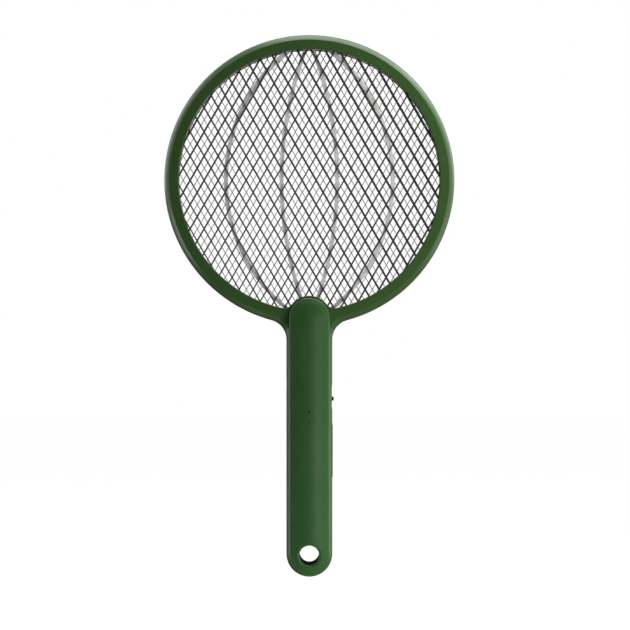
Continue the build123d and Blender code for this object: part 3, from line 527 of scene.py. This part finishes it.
# rings from the body's middle: how far along, how wide, and the paint
RESISTOR_RINGS = (
    (-2.0 * MM, 0.45 * MM, "7a3b12"),
    (-1.0 * MM, 0.45 * MM, "151515"),
    (0.0, 0.45 * MM, "c96a12"),
    (1.9 * MM, 0.45 * MM, "b08a30"),
)
DIODE_RINGS = ((1.8 * MM, 0.8 * MM, "b9b9b6"),)
resistor = ("resistors", "X", RESISTOR_BODY, ("6f9db0", "86b0bf"), RESISTOR_RINGS)
diode = ("diodes", "Z", DIODE_BODY, ("171717", "222222"), DIODE_RINGS)

# the outer grids' wires are painted dark, as painted shade
plated = material("dull_plated_wire_painted_shade", plated_wire)
tinned = material("bright_tinned_wire", bright_wire)
ink = material("pad_print", pad_print)
spring_steel = material("music_wire", music_wire)
finishes = (
    (material("moulded_abs", moulded_abs, "325127", "3b582c"), ("front_shell", "rear_shell")),
    # painted light: the cover's copy of the ABS is greener than the casing's, and stands in for the
    # sheen on its crown
    (material("cover_abs_painted_sheen", moulded_abs, "2d5429", "365c30"), ("handle_cover",)),
    (material("natural_nylon", natural_nylon), ("front_spacer", "rear_spacer")),
    (material("black_acetal", black_acetal), ("press_button", "switch_knob")),
    (material("zinc_plated_steel", zinc_plated), ("rim_screws", "handle_screws", "board_screws")),
    (material("nickel_plated_shell", nickel_shell), ("charging_socket",)),
    (material("smoked_acrylic", smoked_acrylic), ("light_pipe",)),
    (
        material("switch_nylon", filled_nylon),
        ("tact_switch", "tact_plunger", "slide_switch", "switch_lever"),
    ),
    (material("chip_moulding", filled_nylon), ("control_chip", "transistor", "socket_tongue")),
    (material("resistor_lacquer", banded_body, *resistor), ("resistors",)),
    (material("diode_epoxy", banded_body, *diode), ("diodes",)),
    (material("green_solder_mask", solder_mask), ("circuit_board",)),
    (material("sintered_ferrite", ferrite), ("transformer_core",)),
    (material("taped_winding", taped_winding), ("transformer_winding",)),
    (material("dipped_epoxy", dipped_epoxy), ("capacitors",)),
    (material("lamp_package", lamp_package), ("indicator_led",)),
    (material("shrink_sleeve", sleeved_cell), ("battery_cell",)),
    (material("rolled_nickel", rolled_nickel), ("battery_tabs",)),
    (material("closed_cell_foam", closed_foam), ("battery_pad",)),
    (
        material("white_wire_sleeve", wire_sleeve, "b9b8b2", "cccbc6"),
        ("front_grid_lead", "mid_grid_lead", "rear_grid_lead"),
    ),
    (material("red_wire_sleeve", wire_sleeve, "8d1512", "a81e18"), ("red_battery_lead",)),
    (material("black_wire_sleeve", wire_sleeve, "141414", "242424"), ("black_battery_lead",)),
)
for finish, nodes in finishes:
    for node in nodes:
        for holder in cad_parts[node].material_slots:
            holder.material = finish


# ---------------------------------------------------------------- new pieces
def new_piece(name, form, finish, replaces=()):
    """Makes an object of a bmesh and gives it its finish."""
    mesh = bpy.data.meshes.new(name)
    bmesh.ops.recalc_face_normals(form, faces=form.faces)
    form.to_mesh(mesh)
    form.free()
    mesh.shade_smooth()
    mesh.set_sharp_from_angle(angle=CRISP)
    mesh.materials.append(finish)
    made = bpy.data.objects.new(name, mesh)
    bpy.context.scene.collection.objects.link(made)
    if replaces:
        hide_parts(*replaces)
    return made


def join_rings(form, first, second, closed=True):
    """Faces between two rows of points."""
    count = len(first) if closed else len(first) - 1
    for i in range(count):
        j = (i + 1) % len(first)
        form.faces.new((first[i], first[j], second[j], second[i]))


def rod(form, start, end, width, sides):
    """A closed round rod between two points."""
    run = (end - start).normalized()
    across = run.orthogonal().normalized()
    turns = [Matrix.Rotation(2 * pi * k / sides, 3, run) @ across * (width / 2) for k in range(sides)]
    rings = [[form.verts.new(middle + turn) for turn in turns] for middle in (start, end)]
    join_rings(form, *rings)
    form.faces.new(rings[0])
    form.faces.new(rings[1])


def box(form, low, high):
    """A closed box between two corners."""
    made = bmesh.ops.create_cube(form, size=1.0)
    size = high - low
    bmesh.ops.scale(form, vec=size, verts=made["verts"])
    bmesh.ops.translate(form, vec=(low + high) / 2, verts=made["verts"])


def arc(centre, radius, start, end, steps):
    """Points along an arc, without its last one."""
    angles = [start + (end - start) * k / steps for k in range(steps)]
    return [Vector((centre.x + radius * cos(a), centre.y + radius * sin(a))) for a in angles]


def grid_edge(head, outer, arch, inner, corner):
    """Round the grid's edge: over the head, round a corner, over the cover's arch and back."""
    gap = head.y - arch.y
    rise = (gap**2 + (inner + corner) ** 2 - (outer - corner) ** 2) / (2 * gap)
    right = Vector((sqrt((inner + corner) ** 2 - rise**2), arch.y + rise))
    left = Vector((-right.x, right.y))
    low = atan2(right.y - head.y, right.x)
    side = atan2(arch.y - right.y, right.x)
    return (
        arc(head, outer, low, pi - low, HEAD_STEPS)
        + arc(left, corner, pi - low, 2 * pi + side, CORNER_STEPS)
        + arc(arch, inner, pi + side, -side, ARCH_STEPS)
        + arc(right, corner, pi - side, 2 * pi + low, CORNER_STEPS)
    )


def wire_run(head, reach, arch, keep_off, tilt, offset):
    """A wire's two ends: across the head, but stopped where it meets the cover's arch."""
    along = Vector((cos(tilt), sin(tilt)))
    middle = head + offset * Vector((-sin(tilt), cos(tilt)))
    half = sqrt(reach**2 - offset**2)
    nearest = (arch - middle).dot(along)
    off = (middle + nearest * along - arch).length
    start, end = -half, half
    if off < keep_off:
        chord = sqrt(keep_off**2 - off**2)
        if nearest > 0:
            end = min(end, nearest - chord)
        else:
            start = max(start, nearest + chord)
    return middle + start * along, middle + end * along


def wire_grid(node, wire, tab_x, finish, extra_row=0, slip=0):
    """A grid as it is made: round wires laid across each other, welded, in a flat hoop with a tab.

    An extra row moves all the rows half a cell over.
    """
    low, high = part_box(node)
    cover_low, cover_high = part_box("handle_cover")
    half_cover = (cover_high.x - cover_low.x) / 2
    outer = (high.x - low.x) / 2
    head = Vector((0, high.z - outer))
    arch = Vector((0, cover_high.z - half_cover))
    inner, corner = half_cover + LEDGE - CLAMP, CROTCH + CLAMP
    form = bmesh.new()
    # hoop
    walls = []
    for step in (0, HOOP_W):
        edge = grid_edge(head, outer - step, arch, inner + step, corner - step)
        walls.append([[form.verts.new((p.x, y, p.y)) for p in edge] for y in (low.y, high.y)])
    (outer_front, outer_back), (inner_front, inner_back) = walls
    for first, second in (
        (outer_front, outer_back),
        (outer_back, inner_back),
        (inner_back, inner_front),
        (inner_front, outer_front),
    ):
        join_rings(form, first, second)
    # tab for the lead
    tab_top = arch.y + sqrt(inner**2 - tab_x**2) + HOOP_W / 2
    box(form, Vector((tab_x - TAB_W / 2, low.y, low.z)), Vector((tab_x + TAB_W / 2, high.y, tab_top)))
    # wires
    rows = 2 * ceil(outer / PITCH) + extra_row
    reach = outer - HOOP_W / 2
    for tilt, y in ((-TILT, low.y + wire / 2), (TILT, high.y - wire / 2)):
        for row in range(rows):
            offset = (row - (rows - 1) / 2) * PITCH - slip * sin(tilt)
            if abs(offset) < reach - wire:
                ends = wire_run(head, reach, arch, inner + HOOP_W / 2, tilt, offset)
                start, end = [Vector((p.x, y, p.y)) for p in ends]
                rod(form, start, end, wire, WIRE_SIDES)
    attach(new_piece(node + "_wires", form, finish, replaces=[node]), "racket")


wire_grid("front_grid", COARSE_WIRE, -TAB_X, plated)
wire_grid("mid_grid", FINE_WIRE, 0, tinned, extra_row=1)
wire_grid("rear_grid", COARSE_WIRE, TAB_X, plated, slip=REAR_SLIP)


def charge_mark():
    """A small bolt printed under the lamp, laid on the cover's crown."""
    cover_low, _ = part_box("handle_cover")
    lamp_low, lamp_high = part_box("indicator_led")
    middle = (lamp_low.z + lamp_high.z) / 2 - MARK_DROP
    # the bolt's corners, as shares of its height
    corners = ((0.26, 0.5), (-0.34, -0.1), (-0.04, -0.1), (-0.26, -0.5), (0.34, 0.1), (0.04, 0.1))
    form = bmesh.new()
    rings = []
    for lift in (PRINT_T, -PRINT_T):
        ring = []
        for across, up in corners:
            x = across * MARK_H
            sag = CROWN_R - sqrt(CROWN_R**2 - x**2)
            ring.append(form.verts.new((x, cover_low.y + sag - lift, middle + up * MARK_H)))
        rings.append(ring)
    join_rings(form, *rings)
    form.faces.new(rings[0])
    form.faces.new(rings[1])
    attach(new_piece("charge_mark", form, ink), "racket")


charge_mark()


def coil_rise(turn, length):
    """How far along a spring its wire has come: the end turns lie closed, and the rest are even."""
    if turn < 1:
        return CLOSED_PITCH * turn
    if turn > SPRING_TURNS - 1:
        return length - CLOSED_PITCH * (SPRING_TURNS - turn)
    return CLOSED_PITCH + (turn - 1) * (length - 2 * CLOSED_PITCH) / (SPRING_TURNS - 2)


def coil(form, start, length, radius):
    """Round wire wound along X."""
    along = Vector((1, 0, 0))
    rings = []
    for step in range(SPRING_TURNS * STEPS_A_TURN + 1):
        turn = step / STEPS_A_TURN
        out = Vector((0, cos(2 * pi * turn), sin(2 * pi * turn)))
        middle = start + coil_rise(turn, length) * along + radius * out
        sides = [2 * pi * k / WIRE_SIDES for k in range(WIRE_SIDES)]
        ring = [middle + SPRING_WIRE / 2 * (cos(a) * out + sin(a) * along) for a in sides]
        rings.append([form.verts.new(point) for point in ring])
    for first, second in zip(rings, rings[1:]):
        join_rings(form, first, second)
    form.faces.new(rings[0])
    form.faces.new(rings[-1])


def push_bar_springs():
    """Two springs that stand on the casing."""
    low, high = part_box("button_springs")
    width = high.y - low.y
    middle = (low + high) / 2
    form = bmesh.new()
    for z in (low.z + width / 2, high.z - width / 2):
        start = Vector((low.x + SPRING_WIRE / 2, middle.y, z))
        coil(form, start, high.x - low.x - SPRING_WIRE, (width - SPRING_WIRE) / 2)
    replaced = ["button_springs"]
    springs = new_piece("push_bar_springs", form, spring_steel, replaces=replaced)
    start, end = (low.x, middle.y, middle.z), (high.x, middle.y, middle.z)
    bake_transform(springs)


push_bar_springs()


# ---------------------------------------------------------------- studio
scene = bpy.context.scene
scene.view_settings.view_transform = "Standard"

FILL = 0.04  # light that comes from all round
FLOOR_DROP = 200 * MM  # the racket is held up, this far over the floor
FLOOR_GLOW = 0.96  # with the floor's own paint, this makes it as white as the background
FLOOR_SIZE = 12  # metres each way
LOW_FLAG_DROP = 150 * MM  # under the handle's end
TOP_LAMP_RISE = 600 * MM  # over the head
CAMERA = Vector((4.3, -1474, 101)) * MM
LENS, SENSOR = 111.0, 36.0  # the camera's focal length and width, in mm

low, high = cad_box
centre = (low + high) / 2


def shown_to_eye(tree):
    """1 for the rays that see the background: from the camera, a reflection or clear plastic."""
    rays = add(tree, "LightPath")
    seen = add(tree, "Math", {0: rays["Is Camera Ray"], 1: rays["Is Glossy Ray"]}, operation="MAXIMUM")
    return add(tree, "Math", {0: seen[0], 1: rays["Is Transmission Ray"]}, operation="MAXIMUM")[0]


def make_world():
    """White behind the object, and a plain dimmer light from all round on it."""
    scene.world = bpy.data.worlds.new("studio")
    scene.world.use_nodes = True
    tree = scene.world.node_tree
    tree.nodes.clear()
    limits = {"Value": shown_to_eye(tree), "To Min": FILL, "To Max": 1.0}
    strength = add(tree, "MapRange", limits)["Result"]
    light = add(tree, "Background", {"Color": (1, 1, 1, 1), "Strength": strength})
    add(tree, "OutputWorld", {"Surface": light["Background"]})


def floor_paint(tree, place):
    """Matt white floor paint, rolled on: the roller's stipple hardly shows."""
    stipple = add(tree, "TexNoise", {"Vector": place, "Scale": 1 / (30 * MM)})["Fac"]
    white = {MIX_SHARE: stipple, MIX_FIRST: linear("e4e4e4"), MIX_SECOND: linear("e8e8e8")}
    glow = {0: shown_to_eye(tree), 1: FLOOR_GLOW}
    return {
        "Base Color": add(tree, "Mix", white, data_type="RGBA")[MIXED],
        "Roughness": 0.9,
        "Specular IOR Level": 0.0,
        "Emission Color": (1, 1, 1, 1),
        "Emission Strength": add(tree, "Math", glow, operation="MULTIPLY")[0],
    }


def black_cloth(tree, place):
    """Black felt, which takes in nearly all the light that falls on it."""
    nap = add(tree, "TexNoise", {"Vector": place, "Scale": 1 / (20 * MM)})["Fac"]
    black = {MIX_SHARE: nap, MIX_FIRST: linear("161616"), MIX_SECOND: linear("1c1c1c")}
    return {"Base Color": add(tree, "Mix", black, data_type="RGBA")[MIXED], "Roughness": 0.9}


def panel(name, width, height, place, towards, finish):
    """A flat panel that faces a point."""
    mesh = bpy.data.meshes.new(name)
    x, y = width / 2, height / 2
    mesh.from_pydata([(-x, -y, 0), (x, -y, 0), (x, y, 0), (-x, y, 0)], [], [(0, 1, 2, 3)])
    mesh.materials.append(finish)
    made = bpy.data.objects.new(name, mesh)
    made.location = place
    made.rotation_euler = (Vector(towards) - Vector(place)).to_track_quat("Z", "Y").to_euler()
    scene.collection.objects.link(made)
    return made


def black_flag(name, width, height, place, towards):
    """Black cloth that only reflections see, so that it darkens them and takes no light away."""
    flag = panel(name, width, height, place, towards, cloth)
    for ray in ("camera", "diffuse", "transmission", "volume_scatter", "shadow"):
        setattr(flag, "visible_" + ray, False)


def soft_lamp(name, width, height, power, place, towards, reflected=True):
    """A soft box that faces a point. One that isn't reflected lights things and shows in nothing."""
    light = bpy.data.lights.new(name, "AREA")
    light.shape = "RECTANGLE"
    light.size, light.size_y, light.energy = width, height, power
    made = bpy.data.objects.new(name, light)
    made.location = place
    made.rotation_euler = (Vector(towards) - Vector(place)).to_track_quat("-Z", "Y").to_euler()
    made.visible_glossy = reflected
    scene.collection.objects.link(made)


make_world()
paint = material("floor_paint", floor_paint)
panel("floor", FLOOR_SIZE, FLOOR_SIZE, (0, 0, low.z - FLOOR_DROP), (0, 0, FLOOR_SIZE), paint)

# black where the casing would mirror the white all round it
cloth = material("black_cloth", black_cloth)
flags = (
    # name, width, height, place, and the point that it faces, in metres
    ("front_flag", 2.1, 1.8, (-0.05, -0.8, centre.z), (-0.05, 0, centre.z)),
    ("low_left_flag", 0.5, 1.0, (-1.35, -0.8, -0.35), (-1.35, 0, -0.35)),
    ("back_flag", 1.7, 1.6, (0.35, 0.8, centre.z), (0.35, 0, centre.z)),
    ("left_flag", 0.45, 0.7, (-0.61, 0.51, -0.15), (0, 0, -0.15)),
    ("low_flag", 1.6, 1.6, (0, 0, low.z - LOW_FLAG_DROP), (0, 0, 0)),
)
for flag in flags:
    black_flag(*flag)

keys = (
    # name, width, height, watts, place, and the point that it faces
    ("low_key", 0.15, 0.15, 1.66, (0.33, -0.2, -0.24), (0, 0, 0)),
    ("high_key", 0.15, 0.15, 1.08, (0.29, -0.2, 0.41), (0.22, 0, 0.28)),
)
for key in keys:
    soft_lamp(*key, reflected=False)

# each of these draws a pale band along an edge, in this order: the cover's crown, the head's top, its
# right, the handle's right and left, its lower end, and the head's left
band_lamps = (
    ("sheen", 0.28, 0.7, 0.72, (0.29, -0.72, -0.16), (0, 0, 0)),
    ("top_band", 1.1, 0.6, 6.6, (0.35, 0.0, high.z + TOP_LAMP_RISE), (0.35, 0, 0)),
    ("right_band", 0.3, 0.8, 2.6, (0.62, 0.26, 0.58), (0, 0, 0.35)),
    ("low_band", 0.2, 0.48, 0.36, (0.68, 0.0, -0.19), (0, 0, -0.19)),
    ("left_low_band", 0.15, 0.48, 0.9, (-0.68, -0.12, -0.18), (0, 0, -0.18)),
    ("end_band", 0.08, 0.11, 0.04, (-0.16, -0.06, -0.16), (0, 0, -0.08)),
    ("left_band", 0.3, 0.6, 1.2, (-0.64, 0.2, 0.48), (0, 0, 0.3)),
)
for lamp in band_lamps:
    soft_lamp(*lamp)

camera = bpy.data.objects.new("camera", bpy.data.cameras.new("camera"))
camera.data.sensor_width = SENSOR
camera.data.lens = LENS
camera.location = CAMERA
camera.rotation_euler = (radians(90), 0, 0)
scene.collection.objects.link(camera)
scene.camera = camera
